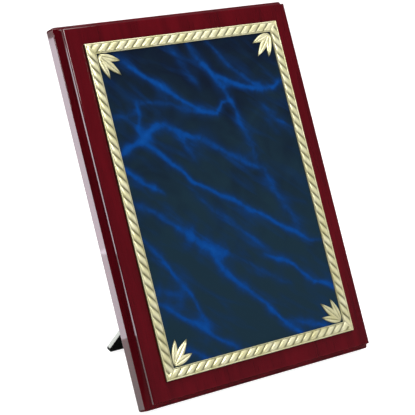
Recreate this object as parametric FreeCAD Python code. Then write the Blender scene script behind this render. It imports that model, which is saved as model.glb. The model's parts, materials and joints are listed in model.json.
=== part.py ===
import FreeCAD, Part
import math
import os

# Award plaque: a cove-edged lacquered board with an enamelled metal plate, which leans back
# on a hinged strut. Millimetres. Each piece is made in the board's own frame and then leant.
#   X  to the right, 0 on the centre line
#   Y  backwards, 0 on the flat back of the board
#   Z  up the board, 0 at its bottom edge
V = FreeCAD.Vector

# board
board_width = 172.0
board_height = 227.0
board_thickness = 13.5
cove_set_in = 3.5            # from the side wall in to the front face
cove_depth = 6.6             # from the front face back to the ledge at the cove's foot
cove_ledge = 0.4
cove_hollow = 0.35
cove_top = 1.5
arris_radius = 0.7
wall_corner_radius = 1.5
back_arris_radius = 0.4
lean = 23.2                  # degrees back from upright

# plate and its gilding
plate_width = 144.0
plate_height = 200.0
plate_thickness = 0.6
enamel_thickness = 0.1       # of the blue field, which fills the plate inside its gilding
adhesive_thickness = 0.3
adhesive_inset = 3.0
border_width = 6.5
border_height = 1.2          # above the blue field
border_chamfer = 0.4
leaf_height = 0.9            # above the blue field
leaf_base = (1.1, 1.1)       # from the border's inner corner, across and down
leaf_tips = [(15.5, 5.7), (14.0, 14.4), (5.7, 15.9)]
leaf_half_widths = [2.2, 2.5, 2.2]

# back of the board
lining_thickness = 0.4
lining_inset = 5.0
hanging_hole_radius = 4.0
hanging_hole_depth = 7.0
hanging_hole_from_top = 28.0
lining_hole_margin = 1.0     # how much wider the hole in the lining is

# strut, measured folded flat behind the board
strut_thickness = 3.4
strut_open_angle = 42.0
strut_foot_width = 91.0
strut_foot_radius = 2.0
strut_stem_width = 34.0
strut_flare = 0.62           # how far each side of the foot comes in per millimetre up
strut_waist_radius = 30.0
strut_head_radius = 3.0
hinge_height = 124.0         # hinge pin above the board's bottom edge

# butt hinge
leaf_thickness = 0.8
hinge_width = 25.0
hinge_leaf_length = 13.0     # from the pin to the end of each leaf
hinge_corner_radius = 2.0
knuckle_count = 5
knuckle_radius = 1.7
knuckle_gap = 0.3            # between neighbouring knuckles
pin_radius = 0.8
pin_clearance = 0.05
pin_overhang = 0.4
pin_chamfer = 0.2
turning_gap = 0.3            # between the knuckles and the flat parts that pass them
stop_gap = 0.1               # between the strut's head and the leaf that it stops on

# fixings
fixing_spacing = 15.0
fixing_offset = 8.5          # from the hinge pin along each leaf
screw_radius = 1.2
screw_head_radius = 2.0      # flush in the hinge leaf's countersink
screw_length = 9.0
screw_tip_length = 1.5
screw_tip_radius = 0.2
screw_slot_length = 2.4
screw_slot_width = 0.6
screw_slot_depth = 0.45
rivet_radius = 1.2
rivet_head_radius = 2.2
rivet_head_height = 0.9
rivet_tail_radius = 1.9
rivet_tail_height = 0.5

# worked out from the above
pin_y = lining_thickness + turning_gap + knuckle_radius
strut_y = pin_y + knuckle_radius + turning_gap
lean_sin = math.sin(math.radians(lean))
lean_cos = math.cos(math.radians(lean))
open_sin = math.sin(math.radians(strut_open_angle))
open_cos = math.cos(math.radians(strut_open_angle))
strut_tilt = math.radians(strut_open_angle - lean)
strut_offset = strut_y - pin_y
ground_rise = back_arris_radius * (lean_cos + lean_sin - 1.0)
pin_rise = hinge_height * lean_cos - pin_y * lean_sin - ground_rise
strut_length = (pin_rise + strut_offset * math.sin(strut_tilt)) / math.cos(strut_tilt)
leaf_face_y = lining_thickness + leaf_thickness
strut_head = (strut_offset * open_cos + pin_y - leaf_face_y - stop_gap) / open_sin
plate_centre_z = board_height / 2.0
adhesive_y = -board_thickness - adhesive_thickness
enamel_face_y = adhesive_y - plate_thickness
metal_face_y = enamel_face_y + enamel_thickness
hanging_hole_z = board_height - hanging_hole_from_top
screw_z = hinge_height + fixing_offset
rivet_z = hinge_height - fixing_offset
fixing_xs = (-fixing_spacing / 2.0, fixing_spacing / 2.0)


def box(x0, x1, y0, y1, z0, z1):
    return Part.makeBox(x1 - x0, y1 - y0, z1 - z0, V(x0, y0, z0))


def centred_sheet(width, height, y0, y1):
    half = height / 2.0
    return box(-width / 2.0, width / 2.0, y0, y1, plate_centre_z - half, plate_centre_z + half)


def prism(edges, along):
    return Part.Face(Part.Wire(edges)).extrude(along)


def edges_where(shape, test):
    return [edge for edge in shape.Edges if test(edge)]


def runs_along(edge, axis):
    start, end = edge.Vertexes[0].Point, edge.Vertexes[-1].Point
    return abs(abs((end - start).normalize().dot(axis)) - 1.0) < 1e-6


def cove_cutter(length):
    """Waste from one side of the board: x is in from the side wall, y is back from the front face."""
    reach = 2.0
    wall = cove_set_in - arris_radius
    turn = arris_radius * (1.0 - math.sqrt(0.5))
    top = V(wall, cove_top, 0)
    foot = V(cove_ledge, cove_depth, 0)
    chord = foot - top
    into_board = V(chord.y, -chord.x, 0).normalize()
    middle = (top + foot) * 0.5 + into_board * cove_hollow
    corners = [V(cove_set_in, 0, 0), V(cove_set_in, -reach, 0), V(-reach, -reach, 0),
               V(-reach, cove_depth, 0), foot]
    edges = [Part.makeLine(a, b) for a, b in zip(corners, corners[1:])]
    edges.append(Part.Arc(foot, middle, top).toShape())
    edges.append(Part.makeLine(top, V(wall, arris_radius, 0)))
    edges.append(Part.Arc(V(wall, arris_radius, 0), V(wall + turn, turn, 0), corners[0]).toShape())
    cutter = prism(edges, V(0, 0, length + 2.0 * reach))
    cutter.translate(V(0, 0, -reach))
    return cutter


def make_board():
    half = board_width / 2.0
    block = box(-half, half, -board_thickness, 0, 0, board_height)
    block = block.makeFillet(wall_corner_radius, edges_where(block, lambda e: runs_along(e, V(0, 1, 0))))
    back = edges_where(block, lambda e: e.BoundBox.YMin > -1e-6)
    block = block.makeFillet(back_arris_radius, back)
    middle = V(0, 0, board_height / 2.0)
    for turn, length, reach in ((0, board_height, half), (90, board_width, board_height / 2.0),
                                (180, board_height, half), (270, board_width, board_height / 2.0)):
        cutter = cove_cutter(length)
        cutter.translate(V(-reach, -board_thickness, board_height / 2.0 - length / 2.0))
        cutter.rotate(middle, V(0, 1, 0), turn)
        block = block.cut(cutter)
    for x in fixing_xs:
        depth = screw_length - leaf_face_y
        block = block.cut(Part.makeCylinder(screw_radius, depth, V(x, 0, screw_z), V(0, -1, 0)))
    hole = Part.makeCylinder(hanging_hole_radius, hanging_hole_depth, V(0, 0, hanging_hole_z), V(0, -1, 0))
    return block.cut(hole)


def make_back_lining():
    sheet = centred_sheet(board_width - 2 * lining_inset, board_height - 2 * lining_inset,
                          0, lining_thickness)
    sheet = sheet.cut(Part.makeCylinder(hanging_hole_radius + lining_hole_margin, lining_thickness,
                                        V(0, 0, hanging_hole_z), V(0, 1, 0)))
    for x in fixing_xs:
        sheet = sheet.cut(Part.makeCylinder(screw_radius, lining_thickness, V(x, 0, screw_z), V(0, 1, 0)))
    return sheet


def make_border():
    front = enamel_face_y - border_height
    outside = centred_sheet(plate_width, plate_height, front, metal_face_y)
    front_edges = edges_where(outside, lambda e: e.BoundBox.YMax < front + 1e-6)
    outside = outside.makeChamfer(border_chamfer, front_edges)
    opening = centred_sheet(plate_width - 2 * border_width, plate_height - 2 * border_width,
                            front, metal_face_y)
    return outside.cut(opening)


def make_leaf(base, tip, half_width):
    along = tip - base
    across = V(along.z, 0, -along.x).normalize()
    middle = (base + tip) * 0.5
    sides = [Part.Arc(base, middle + across * half_width, tip).toShape(),
             Part.Arc(tip, middle - across * half_width, base).toShape()]
    return prism(sides, V(0, -leaf_height - enamel_thickness, 0))


def make_spray(side, end):
    """Three leaves from one inner corner of the border: side is -1 or 1 for x, end -1 or 1 for z."""
    corner_x = side * (plate_width / 2.0 - border_width)
    corner_z = plate_centre_z + end * (plate_height / 2.0 - border_width)

    def place(point):
        return V(corner_x - side * point[0], metal_face_y, corner_z - end * point[1])

    leaves = [make_leaf(place(leaf_base), place(tip), width)
              for tip, width in zip(leaf_tips, leaf_half_widths)]
    return leaves[0].fuse(leaves[1:]).removeSplitter()


def make_blue_plate(sprays):
    """A metal sheet whose front is enamelled wherever the border and the sprays leave it bare."""
    metal = centred_sheet(plate_width, plate_height, metal_face_y, adhesive_y)
    enamel = centred_sheet(plate_width - 2 * border_width, plate_height - 2 * border_width,
                           enamel_face_y, metal_face_y)
    return metal.fuse(enamel.cut(sprays)).removeSplitter()


def is_board_knuckle(index):
    return index % 2 == 0


def knuckle_span(index):
    pitch = hinge_width / knuckle_count
    start = -hinge_width / 2.0 + index * pitch
    return start + knuckle_gap / 2.0, start + pitch - knuckle_gap / 2.0


def make_hinge_leaf(for_board):
    """One leaf with its knuckles, folded shut: the board's runs up from the pin, the strut's down."""
    up = 1 if for_board else -1
    near_y = lining_thickness if for_board else strut_y - leaf_thickness
    far_z = hinge_height + up * hinge_leaf_length
    near_z = hinge_height + up * (knuckle_radius + turning_gap)
    half = hinge_width / 2.0 - knuckle_gap / 2.0
    leaf = box(-half, half, near_y, near_y + leaf_thickness, min(near_z, far_z), max(near_z, far_z))
    far_corners = edges_where(leaf, lambda e: runs_along(e, V(0, 1, 0))
                              and abs(e.CenterOfMass.z - far_z) < 1e-6)
    leaf = leaf.makeFillet(hinge_corner_radius, far_corners)
    bore = pin_radius if for_board else pin_radius + pin_clearance
    for index in range(knuckle_count):
        if is_board_knuckle(index) != for_board:
            continue
        x0, x1 = knuckle_span(index)
        leaf = leaf.fuse(Part.makeCylinder(knuckle_radius, x1 - x0, V(x0, pin_y, hinge_height), V(1, 0, 0)))
        leaf = leaf.fuse(box(x0, x1, near_y, near_y + leaf_thickness,
                             min(hinge_height, near_z), max(hinge_height, near_z)))
    pin_end = V(-hinge_width / 2.0, pin_y, hinge_height)
    leaf = leaf.cut(Part.makeCylinder(bore, hinge_width, pin_end, V(1, 0, 0)))
    for x in fixing_xs:
        if for_board:
            leaf = leaf.cut(screw_blank(x))
        else:
            leaf = leaf.cut(Part.makeCylinder(rivet_radius, leaf_thickness,
                                              V(x, near_y, rivet_z), V(0, 1, 0)))
    return leaf.removeSplitter()


def screw_blank(x):
    countersink = screw_head_radius - screw_radius
    head_place = V(x, leaf_face_y, screw_z)
    head = Part.makeCone(screw_head_radius, screw_radius, countersink, head_place, V(0, -1, 0))
    shank_length = screw_length - screw_tip_length
    shank = Part.makeCylinder(screw_radius, shank_length, V(x, leaf_face_y, screw_z), V(0, -1, 0))
    tip = Part.makeCone(screw_radius, screw_tip_radius, screw_tip_length,
                        V(x, leaf_face_y - shank_length, screw_z), V(0, -1, 0))
    return head.fuse([shank, tip]).removeSplitter()


def make_screw(x):
    screw = screw_blank(x)
    arm = screw_slot_length / 2.0
    half = screw_slot_width / 2.0
    y0 = leaf_face_y - screw_slot_depth
    slots = [box(x - arm, x + arm, y0, leaf_face_y, screw_z - half, screw_z + half),
             box(x - half, x + half, y0, leaf_face_y, screw_z - arm, screw_z + arm)]
    return screw.cut(slots[0]).cut(slots[1])


def make_rivet(x):
    """Domed head on the strut's outer face, flat tail on the hinge leaf."""
    outer_y = strut_y + strut_thickness
    inner_y = strut_y - leaf_thickness
    shank = Part.makeCylinder(rivet_radius, outer_y - inner_y, V(x, inner_y, rivet_z), V(0, 1, 0))
    tail = Part.makeCylinder(rivet_tail_radius, rivet_tail_height, V(x, inner_y, rivet_z), V(0, -1, 0))
    ball = (rivet_head_radius ** 2 + rivet_head_height ** 2) / (2.0 * rivet_head_height)
    dome = Part.makeSphere(ball, V(x, outer_y + rivet_head_height - ball, rivet_z))
    dome = dome.common(box(x - ball, x + ball, outer_y, outer_y + ball, rivet_z - ball, rivet_z + ball))
    return shank.fuse([tail, dome]).removeSplitter()


def make_pin():
    length = hinge_width - knuckle_gap + 2.0 * pin_overhang
    pin = Part.makeCylinder(pin_radius, length, V(-length / 2.0, pin_y, hinge_height), V(1, 0, 0))
    return pin.makeChamfer(pin_chamfer, edges_where(pin, lambda e: len(e.Vertexes) == 1))


def make_strut():
    foot = strut_foot_width / 2.0
    stem = strut_stem_width / 2.0
    bottom = hinge_height - strut_length
    waist = bottom + (foot - stem) / strut_flare
    top = hinge_height + strut_head
    right = [V(foot, strut_y, bottom), V(stem, strut_y, waist), V(stem, strut_y, top)]
    left = [V(-p.x, p.y, p.z) for p in reversed(right)]
    strut = Part.Face(Part.makePolygon(right + left + right[:1])).extrude(V(0, strut_thickness, 0))
    upright = edges_where(strut, lambda e: runs_along(e, V(0, 1, 0)))
    strut = strut.makeFillet(strut_waist_radius, [e for e in upright if abs(e.CenterOfMass.z - waist) < 1e-6])
    for z, radius in ((top, strut_head_radius), (bottom, strut_foot_radius)):
        upright = edges_where(strut, lambda e: runs_along(e, V(0, 1, 0)))
        strut = strut.makeFillet(radius, [e for e in upright if abs(e.CenterOfMass.z - z) < 1e-6])
    for x in fixing_xs:
        hole_end = V(x, strut_y, rivet_z)
        strut = strut.cut(Part.makeCylinder(rivet_radius, strut_thickness, hole_end, V(0, 1, 0)))
    return strut


def opened(shape):
    """Swings a strut piece from folded flat out to the angle at which its head rests on the hinge leaf."""
    turned = shape.copy()
    turned.rotate(V(0, pin_y, hinge_height), V(1, 0, 0), strut_open_angle)
    return turned


sprays = {"corner_spray_%s_%s" % (end_name, side_name): make_spray(side, end)
          for side, side_name in ((-1, "left"), (1, "right"))
          for end, end_name in ((1, "top"), (-1, "bottom"))}
pieces = {
    "board": make_board(),
    "back_lining": make_back_lining(),
    "plate_adhesive": centred_sheet(plate_width - 2 * adhesive_inset, plate_height - 2 * adhesive_inset,
                                    adhesive_y, -board_thickness),
    "blue_plate": make_blue_plate(list(sprays.values())),
    "rope_border": make_border(),
    "hinge_board_leaf": make_hinge_leaf(True),
    "hinge_pin": make_pin(),
    "hinge_screws": Part.makeCompound([make_screw(x) for x in fixing_xs]),
    "strut": opened(make_strut()),
    "hinge_strut_leaf": opened(make_hinge_leaf(False)),
    "strut_rivets": opened(Part.makeCompound([make_rivet(x) for x in fixing_xs])),
}
pieces.update(sprays)

# lean the whole plaque back on its bottom back edge, then put the origin on the ground under its middle
for shape in pieces.values():
    shape.rotate(V(0, 0, 0), V(1, 0, 0), -lean)
whole = Part.makeCompound(list(pieces.values())).optimalBoundingBox(False)
shift = V(0, -(whole.YMin + whole.YMax) / 2.0, -ground_rise)

os.makedirs("parts", exist_ok=True)
for name, shape in pieces.items():
    shape.translate(shift)
    shape.exportStep("parts/%s.step" % name)

pin_place = V(0, pin_y * lean_cos + hinge_height * lean_sin, hinge_height * lean_cos - pin_y * lean_sin)
pin_place = pin_place + shift
print("size %.3f x %.3f x %.3f" % (whole.XLength, whole.YLength, whole.ZLength))
print("hinge pin at %.4f %.4f" % (pin_place.y, pin_place.z))
print("strut length %.2f, head %.2f" % (strut_length, strut_head))
print("shift %.4f %.4f" % (shift.y, shift.z))
for name, shape in pieces.items():
    print(name, "valid" if shape.isValid() else "NOT VALID", len(shape.Solids), "%.1f mm3" % shape.Volume)
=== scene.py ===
import json
import math

import bmesh
import bpy
import numpy as np
from mathutils import Matrix, Vector, noise


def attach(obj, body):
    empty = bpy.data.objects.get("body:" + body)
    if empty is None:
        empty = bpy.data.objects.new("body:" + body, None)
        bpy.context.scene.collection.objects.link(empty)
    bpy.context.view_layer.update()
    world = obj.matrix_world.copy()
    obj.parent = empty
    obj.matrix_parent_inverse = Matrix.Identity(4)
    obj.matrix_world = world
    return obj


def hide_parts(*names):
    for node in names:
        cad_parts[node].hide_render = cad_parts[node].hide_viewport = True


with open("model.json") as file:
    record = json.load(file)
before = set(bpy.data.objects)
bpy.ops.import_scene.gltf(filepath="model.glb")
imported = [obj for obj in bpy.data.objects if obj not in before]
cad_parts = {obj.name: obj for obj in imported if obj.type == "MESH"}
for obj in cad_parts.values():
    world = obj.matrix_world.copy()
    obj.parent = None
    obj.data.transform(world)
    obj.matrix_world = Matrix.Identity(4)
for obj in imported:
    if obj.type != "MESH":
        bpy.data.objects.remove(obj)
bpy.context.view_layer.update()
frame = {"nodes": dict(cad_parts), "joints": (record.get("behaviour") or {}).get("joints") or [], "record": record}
print("frame loaded:", len(frame["nodes"]), "CAD nodes")

millimetre = 0.001  # shapes are worked out in millimetres and kept in metres


def boardPlacement():
    # The board's own frame: x to the right, y backwards from its flat back, z up from its bottom edge.
    # The engraving face looks the way that the board does, so its axis gives the lean.
    face = next(m for m in frame["record"]["mounts"] if m["name"] == "engraving_face")
    right = Vector((1, 0, 0))
    back = -Vector(face["axis"]).normalized()
    turn = Matrix((right, back, right.cross(back))).transposed()
    corners = [turn.transposed() @ v.co for v in frame["nodes"]["board"].data.vertices]
    origin = Vector((0, max(c.y for c in corners), min(c.z for c in corners)))
    return Matrix.Translation(turn @ origin) @ turn.to_4x4()


boardPlace = boardPlacement()


def spanOf(node):
    # lowest and highest corner of a CAD node in the board's frame, in millimetres
    toBoard = boardPlace.inverted()
    points = [toBoard @ v.co / millimetre for v in frame["nodes"][node].data.vertices]
    low = Vector([min(p[i] for p in points) for i in range(3)])
    high = Vector([max(p[i] for p in points) for i in range(3)])
    return low, high


def sheetOf(node):
    # a flat CAD node's width, its height and the height of its middle, then the y of its front and back
    low, high = spanOf(node)
    return high.x - low.x, high.z - low.z, (high.z + low.z) / 2, low.y, high.y


# colours and nodes

def linear(hexColour):
    channels = [int(hexColour[i:i + 2], 16) / 255 for i in (1, 3, 5)]
    return [c / 12.92 if c <= 0.04045 else ((c + 0.055) / 1.055) ** 2.4 for c in channels] + [1.0]


def addNode(tree, kind, settings=None, links=None):
    # a setting with a small first letter is the node's own, any other names or numbers a socket
    node = tree.nodes.new(kind)
    for name, value in (settings or {}).items():
        if name == "stops":
            ramp = node.color_ramp
            while len(ramp.elements) < len(value):
                ramp.elements.new(1.0)
            for element, (position, colour) in zip(ramp.elements, value):
                element.position = position
                element.color = linear(colour)
        elif isinstance(name, str) and name[0].islower():
            setattr(node, name, value)
        else:
            node.inputs[name].default_value = value
    for name, source in (links or {}).items():
        tree.links.new(source, node.inputs[name])
    return node


def newMaterial(name):
    material = bpy.data.materials.new(name)
    material.use_nodes = True
    tree = material.node_tree
    tree.nodes.clear()
    output = addNode(tree, "ShaderNodeOutputMaterial")
    local = addNode(tree, "ShaderNodeTexCoord")
    toBoard = boardPlace.inverted()
    place = addNode(tree, "ShaderNodeMapping",
                    {"Location": toBoard.to_translation(), "Rotation": toBoard.to_euler()},
                    {"Vector": local.outputs["Object"]})
    return material, tree, output, place.outputs[0]


def inMillimetres(tree, place, size):
    # the board's own coordinates divided by the pattern's real size along x, y and z
    scale = [1 / (s * millimetre) for s in size]
    return addNode(tree, "ShaderNodeMapping", {"Scale": scale}, {"Vector": place}).outputs[0]


def rosewoodLacquer():
    # Rosewood-stained board, sprayed with clear gloss and polished: the eye gets a deep wine red with
    # faint upright grain a long way under a hard, very slightly rippled shine.
    look = {"stain": "#520811", "stainDark": "#41060d", "pore": "#300408",
            "figureWidth": 11.0, "figureLength": 95.0,
            "poreWidth": 0.8, "poreLength": 13.0,  # real pores are 0.2 mm wide, drawn coarser to show
            "rippleSize": 9.0}
    material, tree, output, place = newMaterial("rosewoodLacquer")
    figureAt = inMillimetres(tree, place, (look["figureWidth"], look["figureWidth"], look["figureLength"]))
    figure = addNode(tree, "ShaderNodeTexNoise", {"Scale": 1.0, "Detail": 5.0, "Distortion": 0.9},
                     {"Vector": figureAt})
    stain = addNode(tree, "ShaderNodeValToRGB",
                    {"stops": [(0.32, look["stainDark"]), (0.68, look["stain"])]}, {0: figure.outputs[0]})
    poreAt = inMillimetres(tree, place, (look["poreWidth"], look["poreWidth"], look["poreLength"]))
    pores = addNode(tree, "ShaderNodeTexNoise", {"Scale": 1.0, "Detail": 3.0, "Roughness": 0.6},
                    {"Vector": poreAt})
    poreMask = addNode(tree, "ShaderNodeMapRange",
                       {"From Min": 0.55, "From Max": 0.75, "To Min": 0.0, "To Max": 0.5},
                       {"Value": pores.outputs[0]})
    colour = addNode(tree, "ShaderNodeMix", {"data_type": "RGBA", 7: linear(look["pore"])},
                     {0: poreMask.outputs[0], 6: stain.outputs[0]})
    ripple = addNode(tree, "ShaderNodeTexNoise", {"Scale": 1.0, "Detail": 1.0},
                     {"Vector": inMillimetres(tree, place, [look["rippleSize"]] * 3)})
    coatBump = addNode(tree, "ShaderNodeBump", {"Strength": 0.12, "Distance": 0.0003},
                       {"Height": ripple.outputs[0]})
    grainBump = addNode(tree, "ShaderNodeBump", {"Strength": 0.15, "Distance": 0.0001},
                        {"Height": pores.outputs[0]})
    surface = addNode(tree, "ShaderNodeBsdfPrincipled",
                      {"Roughness": 0.5, "IOR": 1.4, "Specular IOR Level": 0.0,
                       "Coat Weight": 1.0, "Coat Roughness": 0.05, "Coat IOR": 1.6},
                      {"Base Color": colour.outputs[2], "Normal": grainBump.outputs[0],
                       "Coat Normal": coatBump.outputs[0]})
    tree.links.new(surface.outputs[0], output.inputs["Surface"])
    return material


def blackLacquer():
    # Fibreboard with sprayed black gloss: near-black, with a soft grey-green sheen where it mirrors the
    # table, and a faint orange peel.
    look = {"black": "#0b0e0d", "dust": "#1b201e", "dustSize": 3.0, "peelSize": 2.5}
    material, tree, output, place = newMaterial("blackLacquer")
    dust = addNode(tree, "ShaderNodeTexNoise", {"Scale": 1.0, "Detail": 6.0, "Roughness": 0.7},
                   {"Vector": inMillimetres(tree, place, [look["dustSize"]] * 3)})
    colour = addNode(tree, "ShaderNodeValToRGB",
                     {"stops": [(0.5, look["black"]), (0.9, look["dust"])]}, {0: dust.outputs[0]})
    shine = addNode(tree, "ShaderNodeMapRange",
                    {"From Min": 0.3, "From Max": 0.8, "To Min": 0.12, "To Max": 0.26},
                    {"Value": dust.outputs[0]})
    peel = addNode(tree, "ShaderNodeTexNoise", {"Scale": 1.0, "Detail": 2.0},
                   {"Vector": inMillimetres(tree, place, [look["peelSize"]] * 3)})
    bump = addNode(tree, "ShaderNodeBump", {"Strength": 0.15, "Distance": 0.0001},
                   {"Height": peel.outputs[0]})
    surface = addNode(tree, "ShaderNodeBsdfPrincipled",
                      {"IOR": 1.45, "Specular IOR Level": 0.3, "Coat Weight": 1.0,
                       "Coat Roughness": 0.06, "Coat IOR": 1.65},
                      {"Base Color": colour.outputs[0], "Roughness": shine.outputs[0],
                       "Normal": bump.outputs[0]})
    tree.links.new(surface.outputs[0], output.inputs["Surface"])
    return material


def blackFlock():
    # Short rayon flock blown on to glue: a dead matt black that pales a little where the pile is brushed
    # the other way. Fibres are 0.02 mm, so the pile is drawn as tufts that show.
    look = {"black": "#0d0d0f", "brushed": "#232327", "tuftSize": 0.6, "brushSize": 24.0}
    material, tree, output, place = newMaterial("blackFlock")
    tufts = addNode(tree, "ShaderNodeTexNoise", {"Scale": 1.0, "Detail": 8.0, "Roughness": 0.75},
                    {"Vector": inMillimetres(tree, place, [look["tuftSize"]] * 3)})
    strokes = addNode(tree, "ShaderNodeTexNoise", {"Scale": 1.0, "Detail": 3.0, "Distortion": 1.5},
                      {"Vector": inMillimetres(tree, place, (look["brushSize"], look["brushSize"],
                                                             look["brushSize"] * 2))})
    both = addNode(tree, "ShaderNodeMath", {"operation": "MULTIPLY"},
                   {0: tufts.outputs[0], 1: strokes.outputs[0]})
    colour = addNode(tree, "ShaderNodeValToRGB",
                     {"stops": [(0.12, look["black"]), (0.42, look["brushed"])]}, {0: both.outputs[0]})
    bump = addNode(tree, "ShaderNodeBump", {"Strength": 0.8, "Distance": 0.0002},
                   {"Height": tufts.outputs[0]})
    surface = addNode(tree, "ShaderNodeBsdfPrincipled",
                      {"Roughness": 0.95, "Specular IOR Level": 0.1, "Sheen Weight": 0.12,
                       "Sheen Roughness": 0.5},
                      {"Base Color": colour.outputs[0], "Normal": bump.outputs[0]})
    tree.links.new(surface.outputs[0], output.inputs["Surface"])
    return material


def gildedRelief():
    # Brass-coloured foil embossed over the plate and lacquered: pale gold and satin on the raised strands,
    # and olive in the hollows and grooves, where the olive is painted shade along with the dirt they keep.
    # The rope's grooves are kept on its mesh as "groove".
    # the hollow colour is the olive of painted shade, with dirt, in the hollows and grooves
    look = {"gold": "#f0ebc6", "goldDeep": "#dcd6a3", "hollowShade": "#5e5d39",
            "cloudSize": 7.0, "grainSize": 0.5}
    material, tree, output, place = newMaterial("gildedRelief")
    faceLow, faceHigh = spanOf("rope_border")
    depth = addNode(tree, "ShaderNodeSeparateXYZ", {}, {0: place})
    sunk = addNode(tree, "ShaderNodeMapRange",
                   {"From Min": (faceLow.y + 0.15) * millimetre,
                    "From Max": (faceHigh.y - 0.35) * millimetre},
                   {"Value": depth.outputs[1]})
    cloud = addNode(tree, "ShaderNodeTexNoise", {"Scale": 1.0, "Detail": 4.0},
                    {"Vector": inMillimetres(tree, place, [look["cloudSize"]] * 3)})
    gold = addNode(tree, "ShaderNodeValToRGB",
                   {"stops": [(0.35, look["goldDeep"]), (0.65, look["gold"])]}, {0: cloud.outputs[0]})
    # painted shade: the further back the relief lies, the more olive it turns
    depthShade = addNode(tree, "ShaderNodeMath", {"operation": "POWER", 1: 1.6}, {0: sunk.outputs[0]})
    groove = addNode(tree, "ShaderNodeAttribute", {"attribute_name": "groove"})
    # painted shade also follows the rope's grooves
    hollowShading = addNode(tree, "ShaderNodeMath", {"operation": "ADD", "use_clamp": True},
                         {0: depthShade.outputs[0], 1: groove.outputs["Fac"]})
    colour = addNode(tree, "ShaderNodeMix", {"data_type": "RGBA", 7: linear(look["hollowShade"])},
                     {0: hollowShading.outputs[0], 6: gold.outputs[0]})
    grain = addNode(tree, "ShaderNodeTexNoise", {"Scale": 1.0, "Detail": 5.0, "Roughness": 0.7},
                    {"Vector": inMillimetres(tree, place, [look["grainSize"]] * 3)})
    satin = addNode(tree, "ShaderNodeMapRange",
                    {"From Min": 0.3, "From Max": 0.7, "To Min": 0.26, "To Max": 0.36},
                    {"Value": grain.outputs[0]})
    bump = addNode(tree, "ShaderNodeBump", {"Strength": 0.25, "Distance": 0.00008},
                   {"Height": grain.outputs[0]})
    surface = addNode(tree, "ShaderNodeBsdfPrincipled", {"Metallic": 0.45, "Specular IOR Level": 0.6},
                      {"Base Color": colour.outputs[2], "Roughness": satin.outputs[0],
                       "Normal": bump.outputs[0]})
    tree.links.new(surface.outputs[0], output.inputs["Surface"])
    return material


def marbledEnamel():
    # Stoved enamel with a marbled print: ink-dark blue, teal towards the foot, crossed by soft veins
    # like smoke, under a smooth satin gloss. The veins' strength is kept on the mesh as "vein".
    look = {"ink": "#0e1725", "teal": "#152732", "glow": "#0b2449", "vein": "#093570", "core": "#0c4286",
            "wispSize": 5.0, "mottleSize": 26.0, "mistSize": (34.0, 8.0, 8.0), "mistSlope": 38.0}
    material, tree, output, place = newMaterial("marbledEnamel")
    vein = addNode(tree, "ShaderNodeAttribute", {"attribute_name": "vein"})
    wisp = addNode(tree, "ShaderNodeTexNoise", {"Scale": 1.0, "Detail": 4.0, "Distortion": 0.6},
                   {"Vector": inMillimetres(tree, place, [look["wispSize"]] * 3)})
    wispiness = addNode(tree, "ShaderNodeMapRange",
                        {"From Min": 0.3, "From Max": 0.7, "To Min": 0.72, "To Max": 1.25},
                        {"Value": wisp.outputs[0]})
    alongVeins = addNode(tree, "ShaderNodeMapping",
                         {"vector_type": "TEXTURE", "Rotation": (0, math.radians(look["mistSlope"]), 0),
                          "Scale": [size * millimetre for size in look["mistSize"]]}, {"Vector": place})
    mist = addNode(tree, "ShaderNodeTexNoise", {"Scale": 1.0, "Detail": 5.0, "Distortion": 0.8},
                   {"Vector": alongVeins.outputs[0]})
    mistiness = addNode(tree, "ShaderNodeMapRange",
                        {"From Min": 0.48, "From Max": 0.78, "To Min": 0.0, "To Max": 0.26},
                        {"Value": mist.outputs[0]})
    strength = addNode(tree, "ShaderNodeMath", {"operation": "MULTIPLY_ADD"},
                       {0: vein.outputs["Fac"], 1: wispiness.outputs[0], 2: mistiness.outputs[0]})
    mottle = addNode(tree, "ShaderNodeTexNoise", {"Scale": 1.0, "Detail": 3.0, "Distortion": 1.2},
                     {"Vector": inMillimetres(tree, place, [look["mottleSize"]] * 3)})
    upwards = addNode(tree, "ShaderNodeSeparateXYZ", {}, {0: place})
    low, high = spanOf("blue_plate")
    height = addNode(tree, "ShaderNodeMapRange",
                     {"From Min": low.z * millimetre, "From Max": high.z * millimetre,
                      "To Min": 0.85, "To Max": -0.15},
                     {"Value": upwards.outputs[2]})
    tealness = addNode(tree, "ShaderNodeMath", {"operation": "ADD", "use_clamp": True},
                       {0: height.outputs[0], 1: mottle.outputs[0]})
    tealShare = addNode(tree, "ShaderNodeMapRange", {"From Min": 0.35, "From Max": 1.0},
                        {"Value": tealness.outputs[0]})
    ground = addNode(tree, "ShaderNodeMix",
                     {"data_type": "RGBA", 6: linear(look["ink"]), 7: linear(look["teal"])},
                     {0: tealShare.outputs[0]})
    veinColour = addNode(tree, "ShaderNodeValToRGB",
                         {"stops": [(0.0, look["glow"]), (0.55, look["vein"]), (1.0, look["core"])]},
                         {0: strength.outputs[0]})
    veinShare = addNode(tree, "ShaderNodeMapRange", {"From Min": 0.02, "From Max": 0.5},
                        {"Value": strength.outputs[0]})
    colour = addNode(tree, "ShaderNodeMix", {"data_type": "RGBA"},
                     {0: veinShare.outputs[0], 6: ground.outputs[2], 7: veinColour.outputs[0]})
    bump = addNode(tree, "ShaderNodeBump", {"Strength": 0.1, "Distance": 0.0002},
                   {"Height": mottle.outputs[0]})
    surface = addNode(tree, "ShaderNodeBsdfPrincipled",
                      {"Roughness": 0.45, "IOR": 1.5, "Specular IOR Level": 0.0, "Coat Weight": 0.4,
                       "Coat Roughness": 0.06},
                      {"Base Color": colour.outputs[2], "Normal": bump.outputs[0]})
    tree.links.new(surface.outputs[0], output.inputs["Surface"])
    return material


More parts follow.
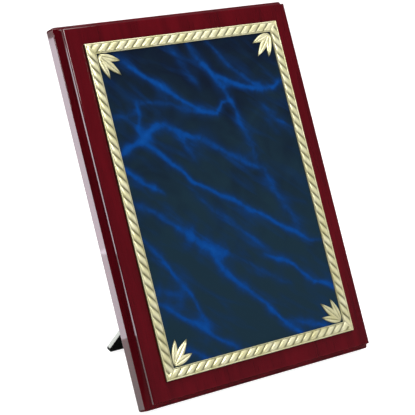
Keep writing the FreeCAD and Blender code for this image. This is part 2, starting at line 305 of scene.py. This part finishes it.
def zincPlate(name, tint, brushLength):
    # Steel pressings, barrel-plated in bright zinc: pale cool metal with fine scuffs along the sheet
    # and a faint straw-blue bloom.
    look = {"bloom": "#b9bcae", "brushWidth": 0.35, "bloomSize": 6.0}
    material, tree, output, place = newMaterial(name)
    scuffs = addNode(tree, "ShaderNodeTexNoise", {"Scale": 1.0, "Detail": 4.0, "Roughness": 0.7},
                     {"Vector": inMillimetres(tree, place, (brushLength, look["brushWidth"],
                                                            look["brushWidth"]))})
    bloom = addNode(tree, "ShaderNodeTexNoise", {"Scale": 1.0, "Detail": 3.0},
                    {"Vector": inMillimetres(tree, place, [look["bloomSize"]] * 3)})
    colour = addNode(tree, "ShaderNodeValToRGB", {"stops": [(0.35, look["bloom"]), (0.65, tint)]},
                     {0: bloom.outputs[0]})
    rough = addNode(tree, "ShaderNodeMapRange",
                    {"From Min": 0.25, "From Max": 0.75, "To Min": 0.2, "To Max": 0.42},
                    {"Value": scuffs.outputs[0]})
    bump = addNode(tree, "ShaderNodeBump", {"Strength": 0.2, "Distance": 0.00005},
                   {"Height": scuffs.outputs[0]})
    surface = addNode(tree, "ShaderNodeBsdfPrincipled", {"Metallic": 1.0},
                      {"Base Color": colour.outputs[0], "Roughness": rough.outputs[0],
                       "Normal": bump.outputs[0]})
    tree.links.new(surface.outputs[0], output.inputs["Surface"])
    return material


def foamTape():
    # Double-sided foam tape, seen only as its cut edge: off-white, with open cells.
    look = {"foam": "#d9d7cc", "cell": "#aeaca0", "cellSize": 0.4}
    material, tree, output, place = newMaterial("foamTape")
    cells = addNode(tree, "ShaderNodeTexVoronoi", {"Scale": 1.0},
                    {"Vector": inMillimetres(tree, place, [look["cellSize"]] * 3)})
    colour = addNode(tree, "ShaderNodeValToRGB", {"stops": [(0.1, look["cell"]), (0.5, look["foam"])]},
                     {0: cells.outputs[0]})
    bump = addNode(tree, "ShaderNodeBump", {"Strength": 0.5, "Distance": 0.0001},
                   {"Height": cells.outputs[0]})
    surface = addNode(tree, "ShaderNodeBsdfPrincipled", {"Roughness": 0.85},
                      {"Base Color": colour.outputs[0], "Normal": bump.outputs[0]})
    tree.links.new(surface.outputs[0], output.inputs["Surface"])
    return material


lacquerRed = rosewoodLacquer()
lacquerBlack = blackLacquer()
flock = blackFlock()
gilt = gildedRelief()
enamel = marbledEnamel()
zinc = zincPlate("zincPlatedSheet", "#cfd1cf", 9.0)
fixingZinc = zincPlate("zincPlatedFixings", "#c6c8c4", 1.5)
tape = foamTape()
print("materials made")


# shapes

def roundedRectangle(width, height, radius, middleZ, arcSteps=6, sideSteps=14):
    # anticlockwise from the right side's top, always the same number of points
    points = []
    reachX, reachZ = width / 2 - radius, height / 2 - radius
    arcMiddles = [(reachX, reachZ), (-reachX, reachZ), (-reachX, -reachZ), (reachX, -reachZ)]
    for turn, (x, z) in enumerate(arcMiddles):
        for step in range(arcSteps + 1):
            angle = math.pi / 2 * (turn + step / arcSteps)
            points.append((x + radius * math.cos(angle), middleZ + z + radius * math.sin(angle)))
        alongX = (-1, 0, 1, 0)[turn] * 2 * reachX / sideSteps
        alongZ = (0, -1, 0, 1)[turn] * 2 * reachZ / sideSteps
        lastX, lastZ = points[-1]
        points += [(lastX + alongX * step, lastZ + alongZ * step) for step in range(1, sideSteps)]
    return points


def atDepth(points, y):
    return [(x, y, z) for x, z in points]


def circleRound(centreZ, radius, ring):
    # a circle with one point in the direction of each of the ring's points
    angles = [math.atan2(z - centreZ, x) for x, z in ring]
    return [(radius * math.cos(a), centreZ + radius * math.sin(a)) for a in angles]


def quarterTurn(steps):
    # angles from 0 to 90 degrees
    return [math.pi / 2 * step / steps for step in range(steps + 1)]


def sheetRings(outlineAt, near, far, ease):
    # A flat sheet from y near to y far, with its rims eased to a small radius. outlineAt gives the outline
    # at a distance in from the edge.
    quarter = quarterTurn(4)
    profile = [(ease * 3, near)]
    profile += [(ease * (1 - math.sin(a)), near + ease * (1 - math.cos(a))) for a in quarter]
    profile += [(ease * (1 - math.sin(a)), far - ease * (1 - math.cos(a))) for a in reversed(quarter)]
    profile += [(ease * 3, far)]
    return [atDepth(outlineAt(inset), y) for inset, y in profile]


def addPiece(name, points, faces, material, body, replaced):
    mesh = bpy.data.meshes.new(name)
    mesh.from_pydata(points, [], faces)
    tidy = bmesh.new()
    tidy.from_mesh(mesh)
    bmesh.ops.remove_doubles(tidy, verts=tidy.verts, dist=1e-7)
    bmesh.ops.recalc_face_normals(tidy, faces=tidy.faces)
    tidy.to_mesh(mesh)
    tidy.free()
    mesh.shade_smooth()
    mesh.set_sharp_from_angle(angle=math.radians(50))
    mesh.materials.append(material)
    piece = bpy.data.objects.new(name, mesh)
    bpy.context.scene.collection.objects.link(piece)
    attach(piece, body)
    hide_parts(*replaced)
    return piece


def makePiece(name, ringSets, material, body, replaced, place=boardPlace, joined=False):
    # Each set of rings is skinned from first to last. joined closes the last ring back to the first;
    # otherwise the two end rings are capped.
    points, faces = [], []
    for rings in ringSets:
        start, size = len(points), len(rings[0])
        points += [place @ (Vector(p) * millimetre) for ring in rings for p in ring]
        for r in range(len(rings) if joined else len(rings) - 1):
            a = start + r * size
            b = start + (r + 1) % len(rings) * size
            faces += [(a + i, a + (i + 1) % size, b + (i + 1) % size, b + i) for i in range(size)]
        if not joined:
            faces.append(tuple(range(start, start + size)))
            faces.append(tuple(range(len(points) - size, len(points))))
    return addPiece(name, points, faces, material, body, replaced)


# the board: one thick panel with a cove routed round its front, and a blind hanging hole

board = {"setIn": 3.5, "coveDepth": 6.6, "coveTop": 1.5, "ledge": 0.4, "bow": 0.35, "arris": 0.7,
         "wallCorner": 1.5, "faceCorner": 0.4, "ledgeEase": 0.15, "backArris": 0.4,
         "faceRing": 3.0, "flatRing": 0.6,  # rings beside a rounding, which keep the flat next to it flat
         "holeRadius": 4.0, "holeDepth": 7.0, "holeEase": 0.3, "holeFromTop": 28.0, "holeFoot": 0.1}


def boardProfile(thickness):
    # (distance in from the side wall, y), from the front face out over the cove and round to the back
    front = -thickness
    profile = [(board["setIn"] + board["faceRing"], front), (board["setIn"] + board["flatRing"], front)]
    profile += [(board["setIn"] - board["arris"] * math.sin(a), front + board["arris"] * (1 - math.cos(a)))
                for a in quarterTurn(6)]
    top = Vector((board["setIn"] - board["arris"], front + board["coveTop"]))
    foot = Vector((board["ledge"], front + board["coveDepth"]))
    inwards = Vector((foot.y - top.y, top.x - foot.x)).normalized()
    coveSteps = 12
    for step in range(coveSteps + 1):
        share = step / coveSteps
        point = top.lerp(foot, share) + inwards * board["bow"] * 4 * share * (1 - share)
        profile.append((point.x, point.y))
    ease, arris = board["ledgeEase"], board["backArris"]
    profile += [(ease * (1 - math.sin(a)), foot.y + ease * (1 - math.cos(a))) for a in quarterTurn(3)]
    profile += [(0, foot.y + board["flatRing"]), (0, -2 * arris)]
    profile += [(arris * (1 - math.cos(a)), -arris * (1 - math.sin(a))) for a in quarterTurn(4)]
    profile.append((arris + board["flatRing"], 0))
    return profile


def makeBoard():
    width, height, middle, front, back = sheetOf("board")
    rings = []
    for inset, y in boardProfile(back - front):
        radius = max(board["wallCorner"] - inset, board["faceCorner"])
        outline = roundedRectangle(width - 2 * inset, height - 2 * inset, radius, middle)
        rings.append(atDepth(outline, y))
    holeZ = height - board["holeFromTop"]
    hole, ease, bottom = board["holeRadius"], board["holeEase"], -board["holeDepth"]
    steps = [(hole + 2 * ease, 0)]
    steps += [(hole + ease * (1 - math.sin(a)), -ease * (1 - math.cos(a))) for a in quarterTurn(2)]
    steps += [(hole, bottom + board["holeFoot"]), (hole, bottom)]
    rings += [atDepth(circleRound(holeZ, across, outline), y) for across, y in steps]
    makePiece("covedBoard", [rings], lacquerRed, "plaque", ["board"])


makeBoard()


# the flocked sheet on its back

lining = {"ease": 0.15, "corner": 2.0, "holeRadius": 5.0}


def makeLining():
    width, height, middle, near, far = sheetOf("back_lining")
    holeZ = spanOf("board")[1].z - board["holeFromTop"]
    ease, holeRadius = lining["ease"], lining["holeRadius"]

    def outline(inset):
        return roundedRectangle(width - 2 * inset, height - 2 * inset, lining["corner"], middle)

    rings = [atDepth(circleRound(holeZ, holeRadius, outline(0)), y) for y in (near, far - ease / 2)]
    rings.append(atDepth(circleRound(holeZ, holeRadius + ease, outline(0)), far))
    rings.append(atDepth(outline(ease * 3), far))
    rings += [atDepth(outline(ease * (1 - math.sin(a))), far - ease * (1 - math.cos(a)))
              for a in quarterTurn(3)]
    rings.append(atDepth(outline(0), near))
    makePiece("flockedLining", [rings], flock, "plaque", ["back_lining"], joined=True)


makeLining()
print("board and lining made")


# the plate: sheet metal with an enamelled field

plate = {"enamelThickness": 0.1, "sheetEase": 0.12, "corner": 0.4, "border": 6.5, "step": 0.8}

# how the veins wander, in millimetres, and how they fade at their ends and into a halo
marbling = {"driftSize": 14, "drift": 1.6, "fineSize": 4, "fine": 0.35, "endStrength": 0.4, "endRate": 6,
            "width": 0.75, "halo": 2.8, "strength": 0.78, "seed": 1}

# Veins of the marbling, in millimetres from the plate's middle: half-width, strength, then points.
veins = [
    (1.5, 0.85, [(-52, 89), (-32, 74), (-12, 57), (-2, 51), (9, 49), (16, 54), (23, 54)]),
    (1.8, 0.55, [(-1, 95), (5, 82), (14, 72), (20, 60), (24, 48), (28, 30)]),
    (1.6, 0.50, [(13, 95), (28, 76), (42, 63), (50, 60)]),
    (1.6, 0.75, [(8, 79), (14, 72), (32, 63), (44, 60), (56, 59), (68, 64)]),
    (2.0, 0.40, [(-46, 62), (-26, 59), (-12, 52), (-2, 50)]),
    (1.6, 0.55, [(-46, 62), (-46, 54), (-49, 46), (-47, 40)]),
    (2.2, 0.75, [(-68, 31), (-58, 36), (-48, 40), (-38, 46), (-30, 46)]),
    (2.4, 0.55, [(-30, 46), (-18, 38), (-4, 34), (10, 24), (24, 15), (36, 9)]),
    (1.4, 0.80, [(-48, 40), (-34, 25), (-20, 10), (-2, -1), (18, -14), (38, -26), (56, -39), (68, -41)]),
    (1.5, 0.70, [(-68, 26), (-54, 14), (-42, 6)]),
    (2.2, 0.50, [(-68, 6), (-62, 2), (-52, -4), (-42, -12), (-32, -20)]),
    (3.2, 0.80, [(-36, -17), (-27, -25), (-17, -32), (-6, -38)]),
    (2.4, 0.60, [(-18, -32), (-14, -44), (-6, -54), (4, -64)]),
    (1.6, 0.75, [(4, -62), (14, -76), (24, -86), (36, -97)]),
    (1.7, 0.60, [(-68, -14), (-60, -24), (-50, -40), (-38, -60), (-35, -74)]),
    (3.2, 0.45, [(-66, -46), (-56, -51), (-44, -56)]),
    (1.8, 0.65, [(-68, -53), (-48, -68), (-30, -82), (-12, -96)]),
    (1.7, 0.70, [(18, -41), (36, -50), (52, -64), (70, -74)]),
    (2.6, 0.40, [(34, 12), (38, -4), (46, -18), (54, -32)]),
    (2.2, 0.50, [(-56, -84), (-46, -89), (-36, -98)]),
    (2.4, 0.55, [(30, -85), (44, -90), (58, -96)]),
    (2.4, 0.38, [(46, 50), (52, 40), (60, 31)]),
    (2.4, 0.34, [(-22, 6), (-10, -10), (8, -26), (22, -40)]),
    (2.0, 0.32, [(2, -42), (18, -54), (34, -63)]),
    (2.4, 0.30, [(-14, 94), (-4, 76), (2, 64)]),
    (2.4, 0.35, [(-68, 55), (-56, 54), (-46, 57)]),
    (2.2, 0.35, [(-22, 42), (-18, 30), (-14, 20)]),
    (2.4, 0.35, [(26, 30), (30, 24), (30, 16)]),
]


def veinStrength(x, z):
    # arrays of places on the plate, in millimetres from its middle, to how strongly each is veined
    noise.seed_set(marbling["seed"])  # otherwise the noise starts from the clock
    broad, close = marbling["driftSize"], marbling["fineSize"]
    drift = np.array([noise.noise_vector((a / broad, b / broad, 3.0)) for a, b in zip(x, z)])
    fine = np.array([noise.noise_vector((a / close, b / close, 8.0)) for a, b in zip(x, z)])
    x = x + marbling["drift"] * drift[:, 0] + marbling["fine"] * fine[:, 0]
    z = z + marbling["drift"] * drift[:, 1] + marbling["fine"] * fine[:, 1]
    total = np.zeros(len(x))
    for halfWidth, strength, path in veins:
        nearest = np.full(len(x), 1e9)
        travelled = np.zeros(len(x))
        lengths = [math.dist(a, b) for a, b in zip(path, path[1:])]
        before = 0
        for (x0, z0), (x1, z1), length in zip(path, path[1:], lengths):
            share = np.clip(((x - x0) * (x1 - x0) + (z - z0) * (z1 - z0)) / length ** 2, 0, 1)
            away = np.hypot(x - x0 - share * (x1 - x0), z - z0 - share * (z1 - z0))
            closer = away < nearest
            travelled[closer] = (before + share * length)[closer]
            nearest = np.minimum(nearest, away)
            before += length
        position = travelled / before
        inside = np.clip(np.minimum(position, 1 - position) * marbling["endRate"], 0, 1)
        fade = inside * (1 - marbling["endStrength"]) + marbling["endStrength"]
        swell = 0.8 + 0.5 * np.sin(position * 9 + halfWidth * 7) ** 2
        wide = marbling["width"] * halfWidth * swell
        core = np.exp(-(nearest / wide) ** 2)
        halo = np.exp(-(nearest / wide / marbling["halo"]) ** 2)
        share = marbling["strength"] * strength * fade * (0.5 * core + 0.5 * halo)
        total = 1 - (1 - total) * (1 - np.clip(share, 0, 1))
    return total


def makePlate():
    width, height, middle, front, back = sheetOf("blue_plate")
    metalFace = front + plate["enamelThickness"]

    def outline(inset):
        return roundedRectangle(width - 2 * inset, height - 2 * inset, plate["corner"], middle)

    makePiece("plateSheet", [sheetRings(outline, metalFace, back, plate["sheetEase"])], gilt,
              "plaque", ["blue_plate"])

    # the field's front is a fine grid, so that the veins can be kept on its points
    fieldWidth, fieldHeight = width - 2 * plate["border"], height - 2 * plate["border"]
    columns, rows = round(fieldWidth / plate["step"]), round(fieldHeight / plate["step"])
    xs = [fieldWidth * (i / columns - 0.5) for i in range(columns + 1)]
    zs = [fieldHeight * (j / rows - 0.5) for j in range(rows + 1)]
    points = [(x, front, middle + z) for z in zs for x in xs]
    row = columns + 1
    faces = [(j * row + i, j * row + i + 1, (j + 1) * row + i + 1, (j + 1) * row + i)
             for j in range(rows) for i in range(columns)]

    # its rim, from the bottom left, goes down to the metal and is closed there
    rim = list(range(columns)) + [j * row + columns for j in range(rows)]
    rim += [rows * row + columns - i for i in range(columns)] + [(rows - j) * row for j in range(rows)]
    sunk = [len(points) + k for k in range(len(rim))]
    points += [(points[i][0], metalFace, points[i][2]) for i in rim]
    faces += [(rim[k - 1], rim[k], sunk[k], sunk[k - 1]) for k in range(len(rim))]
    faces.append(tuple(sunk))
    points = [boardPlace @ (Vector(p) * millimetre) for p in points]
    field = addPiece("enamelField", points, faces, enamel, "plaque", ["blue_plate"])

    toBoard = boardPlace.inverted()
    places = np.array([toBoard @ v.co for v in field.data.vertices]) / millimetre
    strength = veinStrength(places[:, 0], places[:, 2] - middle)
    field.data.attributes.new("vein", "FLOAT", "POINT").data.foreach_set("value", strength.astype(np.float32))


makePlate()
print("plate made")


# the embossed rope round the plate

# The rims are (distance from the nearer edge, height over the sheet), in from the outer edge and then out
# to the inner one. Strands are a little further apart on the sides longer than longSide.
rope = {"width": 6.5, "pitchAcross": 6.2, "pitchUp": 6.5, "longSide": 160.0, "step": 0.42,
        "ropeMiddle": 3.3, "ropeHalf": 2.45, "twist": 2.8, "mitre": 1.2, "roundness": 0.65,
        "base": 0.42, "rise": 0.88, "doming": 0.7, "grooveHeight": 0.3,
        "outerRim": [(0.0, 0.0), (0.0, 0.7), (0.1, 0.92), (0.3, 1.0), (0.6, 1.0), (0.78, 0.85)],
        "innerRim": [(0.6, 0.6), (0.45, 0.8), (0.15, 0.8), (0.0, 0.62), (0.0, 0.0)]}


def ropeLobe(along, across, length):
    # 1 on the crown of a strand, 0 in the groove between two, and 1 again over the mitres
    share = max(-1.0, min(1.0, (across - rope["ropeMiddle"]) / rope["ropeHalf"]))
    pitch = rope["pitchUp"] if length > rope["longSide"] else rope["pitchAcross"]
    phase = (along + rope["twist"] * share) * round(length / pitch) / length
    lobe = math.cos(math.pi * (phase - math.floor(phase + 0.5))) ** rope["roundness"]
    ends = max(0.0, min(1.0, min(along - across, length - across - along) / rope["mitre"]))
    return 1 - (1 - lobe) * ends * ends * (3 - 2 * ends), share


def ropeHeight(along, across, length):
    # height over the sheet of a rope that runs clockwise, at a distance in from the border's outer edge
    lobe, share = ropeLobe(along, across, length)
    dome = math.sqrt(max(0.0, 1 - share * share)) ** rope["doming"]
    return rope["base"] + rope["rise"] * dome * (rope["grooveHeight"] + (1 - rope["grooveHeight"]) * lobe)


def levelHeight(height):
    return lambda along, across, length: height


def borderRing(across, heightAt, sheetFace, width, height, middle):
    points = []
    for side in range(4):
        length = (width, height)[side % 2]
        steps = round(length / rope["step"])
        for step in range(steps):
            along = across + (length - 2 * across) * step / steps
            y = sheetFace - heightAt(along, across, length)
            fromLeft, fromTop = [(along, across), (width - across, along),
                                 (width - along, height - across), (across, height - along)][side]
            points.append((fromLeft - width / 2, y, middle + height / 2 - fromTop))
    return points


def makeBorder():
    width, height, middle, _, back = sheetOf("rope_border")

    def ring(across, heightAt):
        return borderRing(across, heightAt, back, width, height, middle)

    rings = [ring(across, levelHeight(level)) for across, level in rope["outerRim"]]
    ropeSteps = 20
    for step in range(ropeSteps + 1):
        share = -math.cos(math.pi * step / ropeSteps)
        rings.append(ring(rope["ropeMiddle"] + rope["ropeHalf"] * share, ropeHeight))
    rings += [ring(rope["width"] - across, levelHeight(level)) for across, level in rope["innerRim"]]
    border = makePiece("ropeBorder", [rings], gilt, "plaque", ["rope_border"], joined=True)

    toBoard = boardPlace.inverted()
    grooves = []
    for vertex in border.data.vertices:
        place = toBoard @ vertex.co / millimetre
        x, z = place.x, place.z - middle
        fromSide, fromEnd = width / 2 - abs(x), height / 2 - abs(z)
        if fromEnd <= fromSide:
            length, along = width, width / 2 + (x if z > 0 else -x)
        else:
            length, along = height, height / 2 + (-z if x > 0 else z)
        lobe, share = ropeLobe(along, min(fromSide, fromEnd), length)
        # the groove mask, where the gilt is darkened to olive as painted shade
        grooves.append((1 - lobe) * (1 - share ** 4))
    border.data.attributes.new("groove", "FLOAT", "POINT").data.foreach_set("value", grooves)


makeBorder()


# the leaf sprays in its corners

leaf = {"base": (1.1, 1.1), "tips": [(15.5, 5.7), (14.0, 14.4), (5.7, 15.9)], "halfWidths": [2.2, 2.5, 2.2],
        "height": 1.0, "midribWidth": 0.2, "midribDepth": 0.42, "ribs": 9, "ribDepth": 0.05,
        "lengthSteps": 32, "widthSteps": 20}


def leafRings(base, tip, halfWidth, corner, side, end, sheetFace):
    # cross-sections from base to tip: each goes over the leaf and back along its flat underside
    along = Vector(tip) - Vector(base)
    across = Vector((-along.y, along.x)).normalized()
    rings = []
    for step in range(leaf["lengthSteps"] + 1):
        share = 0.004 + 0.992 * step / leaf["lengthSteps"]
        half = halfWidth * math.sin(math.pi * share ** 0.82) ** 0.9
        crown = leaf["height"] * (0.5 + 0.5 * math.sin(math.pi * (0.12 + 0.8 * share)) ** 0.7)
        crown *= min(1.0, 0.35 + half / halfWidth * 1.3)
        ring = [(-1, 0.0)]
        for part in range(leaf["widthSteps"] + 1):
            s = -1 + 2 * part / leaf["widthSteps"]
            rounding = math.sqrt(max(0.0, 1 - abs(s) ** 3))
            midrib = leaf["midribDepth"] * math.exp(-(s / leaf["midribWidth"]) ** 2)
            rib = leaf["ribDepth"] * math.cos(2 * math.pi * (share * leaf["ribs"] - abs(s))) * (1 - abs(s))
            height = crown * min(1.0, 0.3 + 0.7 * rounding - midrib * rounding + rib)
            ring.append((s, height))
        ring.append((1, 0.0))
        middle = Vector(base) + along * share
        placed = []
        for s, height in ring:
            point = middle + across * s * half
            placed.append((corner[0] - side * point.x, sheetFace - height, corner[1] - end * point.y))
        rings.append(placed)
    return rings


def makeSprays():
    width, height, middle, _, back = sheetOf("rope_border")
    for sideName, side in (("left", -1), ("right", 1)):
        for endName, end in (("top", 1), ("bottom", -1)):
            corner = (side * (width / 2 - rope["width"]), middle + end * (height / 2 - rope["width"]))
            sets = [leafRings(leaf["base"], tip, half, corner, side, end, back)
                    for tip, half in zip(leaf["tips"], leaf["halfWidths"])]
            makePiece("leafSpray_%s_%s" % (endName, sideName), sets, gilt, "plaque",
                      ["corner_spray_%s_%s" % (endName, sideName)])


makeSprays()
print("rope border and leaf sprays made")


# the strut behind

strut = {"footWidth": 91.0, "stemWidth": 34.0, "flare": 0.62, "thickness": 3.4, "near": 4.4,
         "length": 119.95, "head": 3.87, "openAngle": 42.0, "footCorner": 2.0, "waistRadius": 30.0,
         "headRadius": 3.0, "ease": 0.3}


def filletedOutline(corners, arcSteps=8):
    # corners are (x, z, radius), in order; each is turned into an arc
    points = []
    for index, (x, z, radius) in enumerate(corners):
        here = Vector((x, z))
        before = (Vector(corners[index - 1][:2]) - here).normalized()
        after = (Vector(corners[(index + 1) % len(corners)][:2]) - here).normalized()
        half = before.angle(after) / 2
        centre = here + (before + after).normalized() * radius / math.sin(half)
        start = here + before * radius / math.tan(half) - centre
        finish = here + after * radius / math.tan(half) - centre
        turn = math.atan2(start.x * finish.y - start.y * finish.x, start.dot(finish))
        for step in range(arcSteps + 1):
            angle = turn * step / arcSteps
            points.append((centre.x + start.x * math.cos(angle) - start.y * math.sin(angle),
                           centre.y + start.x * math.sin(angle) + start.y * math.cos(angle)))
    return points


def insetBy(points, inset):
    # moves each point of an anticlockwise outline in, square to its two neighbours
    moved = []
    for index, (x, z) in enumerate(points):
        before, after = Vector(points[index - 1]), Vector(points[(index + 1) % len(points)])
        along = (after - before).normalized()
        moved.append((x - along.y * inset, z + along.x * inset))
    return moved


def makeStrut():
    hinge = next(j for j in frame["joints"] if j["name"] == "strut_fold")
    pin = boardPlace.inverted() @ Vector(hinge["pos_m"])
    opened = (boardPlace @ Matrix.Translation(pin)
              @ Matrix.Rotation(math.radians(strut["openAngle"]), 4, "X") @ Matrix.Translation(-pin))
    pinZ = pin.z / millimetre
    foot, stem = strut["footWidth"] / 2, strut["stemWidth"] / 2
    bottom, top = pinZ - strut["length"], pinZ + strut["head"]
    waist = bottom + (foot - stem) / strut["flare"]
    corners = [(foot, bottom, strut["footCorner"]), (stem, waist, strut["waistRadius"]),
               (stem, top, strut["headRadius"]), (-stem, top, strut["headRadius"]),
               (-stem, waist, strut["waistRadius"]), (-foot, bottom, strut["footCorner"])]
    outline = filletedOutline(corners)
    rings = sheetRings(lambda inset: insetBy(outline, inset), strut["near"],
                       strut["near"] + strut["thickness"], strut["ease"])
    makePiece("lacqueredStrut", [rings], lacquerBlack, "strut", ["strut"], place=opened)


makeStrut()
print("strut made")


# carried-over CAD pieces: hinge, fixings and tape keep their shapes and get their finishes

carried = {"hinge_board_leaf": zinc, "hinge_strut_leaf": zinc, "hinge_pin": fixingZinc,
           "hinge_screws": fixingZinc, "strut_rivets": fixingZinc, "plate_adhesive": tape}
for node, material in carried.items():
    for holder in frame["nodes"][node].material_slots:
        holder.link = "OBJECT"
        holder.material = material
print("finishes given to", len(carried), "CAD nodes")


# stage, light and camera

# The floor is a sheet of milk acrylic over a light box, so it is white without a hard shadow.
stage = {"reach": 5.0, "floor": "#9a9a9c", "glow": 0.95}


def stageSheet(name, corners, material):
    mesh = bpy.data.meshes.new(name)
    mesh.from_pydata(corners, [], [tuple(range(len(corners)))])
    mesh.materials.append(material)
    sheet = bpy.data.objects.new(name, mesh)
    bpy.context.scene.collection.objects.link(sheet)
    return sheet


def makeFloor():
    material, tree, output = newMaterial("milkAcrylicFloor")[:3]
    surface = addNode(tree, "ShaderNodeBsdfPrincipled",
                      {"Base Color": linear(stage["floor"]), "Roughness": 0.8, "Specular IOR Level": 0.1,
                       "Emission Color": (1, 1, 1, 1), "Emission Strength": stage["glow"]})
    tree.links.new(surface.outputs[0], output.inputs["Surface"])
    reach = stage["reach"]
    stageSheet("floor", [(-reach, -reach, 0), (reach, -reach, 0), (reach, reach, 0), (-reach, reach, 0)],
               material)


makeFloor()

# Dark cards out of view, with corners in metres: one stands on the left and shades the cove there, and one
# lies just over the floor at the foot and only shows in the gloss.
footOutline = [(-0.3, -0.9), (0.2, -0.9), (0.2, 0.06), (-0.07, 0.06), (-0.085, -0.04), (-0.092, -0.048),
               (-0.3, 0.12)]
cards = {
    "leftCard": {"colour": "#141414", "shades": True,
                 "corners": [(-0.3, -0.9, 0), (-0.3, 0.17, 0), (-0.3, 0.17, 1), (-0.3, -0.9, 1)]},
    "footCard": {"colour": "#404040", "shades": False,
                 "corners": [(x, y, 0.0006) for x, y in footOutline]},
}


def makeCards():
    for name, card in cards.items():
        material, tree, output = newMaterial(name)[:3]
        surface = addNode(tree, "ShaderNodeBsdfDiffuse", {"Color": linear(card["colour"])})
        tree.links.new(surface.outputs[0], output.inputs["Surface"])
        sheet = stageSheet(name, card["corners"], material)
        sheet.visible_camera = False
        sheet.visible_shadow = sheet.visible_diffuse = card["shades"]


makeCards()

# each: place in metres, where it points, size across and up, radiance, colour
lamps = {
    "frontSoftbox": ((0.0, -1.0, 1.13), (0, 0, 0.12), (0.6, 0.6), 16.0, "#ffffff"),
    "overheadSoftbox": ((0.15, 0.1, 1.6), (0.15, 0.1, 0), (1.4, 1.4), 5.0, "#ffffff"),
    "backLeftSoftbox": ((-1.115, 0.8, 0.77), (0, 0, 0.1), (1.0, 1.0), 7.5, "#fbfff8"),
    "lowGlowFar": ((-0.77, 0.87, 0.003), (-0.77, 0.87, 1), (1.3, 1.3), 3.5, "#f8f0ff"),
    "lowGlowNear": ((-0.2, 0.145, 0.002), (-0.2, 0.145, 1), (0.17, 0.17), 2.8, "#f8f0ff"),
}


def makeLamps():
    for name, (place, target, size, radiance, tint) in lamps.items():
        lamp = bpy.data.lights.new(name, "AREA")
        lamp.shape = "RECTANGLE"
        lamp.size, lamp.size_y = size
        lamp.energy = radiance * math.pi * size[0] * size[1]
        lamp.color = linear(tint)[:3]
        holder = bpy.data.objects.new(name, lamp)
        bpy.context.scene.collection.objects.link(holder)
        holder.location = place
        aim = Vector(target) - Vector(place)
        holder.rotation_euler = aim.to_track_quat("-Z", "Y").to_euler()
        holder.visible_camera = False


makeLamps()


# a dark studio, a little lighter low down: linear colours, and how far up the change runs
sky = {"low": (0.1, 0.095, 0.11, 1), "high": (0.04, 0.04, 0.04, 1), "from": 0.15, "to": 0.45}


def makeSky():
    world = bpy.data.worlds.new("studio")
    bpy.context.scene.world = world
    world.use_nodes = True
    tree = world.node_tree
    tree.nodes.clear()
    output = addNode(tree, "ShaderNodeOutputWorld")
    place = addNode(tree, "ShaderNodeTexCoord")
    axes = addNode(tree, "ShaderNodeSeparateXYZ", {}, {0: place.outputs["Generated"]})
    height = addNode(tree, "ShaderNodeMapRange",
                     {"interpolation_type": "SMOOTHSTEP", "From Min": sky["from"], "From Max": sky["to"]},
                     {"Value": axes.outputs[2]})
    colour = addNode(tree, "ShaderNodeMix",
                     {"data_type": "RGBA", 6: sky["low"], 7: sky["high"]},
                     {0: height.outputs[0]})
    light = addNode(tree, "ShaderNodeBackground", {"Strength": 1.0}, {"Color": colour.outputs[2]})
    tree.links.new(light.outputs[0], output.inputs["Surface"])


makeSky()

# degrees round from the front and up, metres to the point aimed at, and millimetres of lens and sensor
shot = {"azimuth": -37.694, "elevation": 15.370, "distance": 0.9898, "aim": (-0.00429, -0.00023, 0.09906),
        "lens": 141.86, "sensor": 36.0}


def makeCamera():
    azimuth, elevation = math.radians(shot["azimuth"]), math.radians(shot["elevation"])
    towards = Vector((math.sin(azimuth) * math.cos(elevation), -math.cos(azimuth) * math.cos(elevation),
                      math.sin(elevation)))
    camera = bpy.data.cameras.new("camera")
    camera.lens = shot["lens"]
    camera.sensor_width = shot["sensor"]
    camera.clip_start = 0.01
    holder = bpy.data.objects.new("camera", camera)
    bpy.context.scene.collection.objects.link(holder)
    holder.location = Vector(shot["aim"]) + towards * shot["distance"]
    holder.rotation_euler = (-towards).to_track_quat("-Z", "Y").to_euler()
    bpy.context.scene.camera = holder


makeCamera()
bpy.context.scene.view_settings.view_transform = "Standard"
print("stage, lamps and camera set")
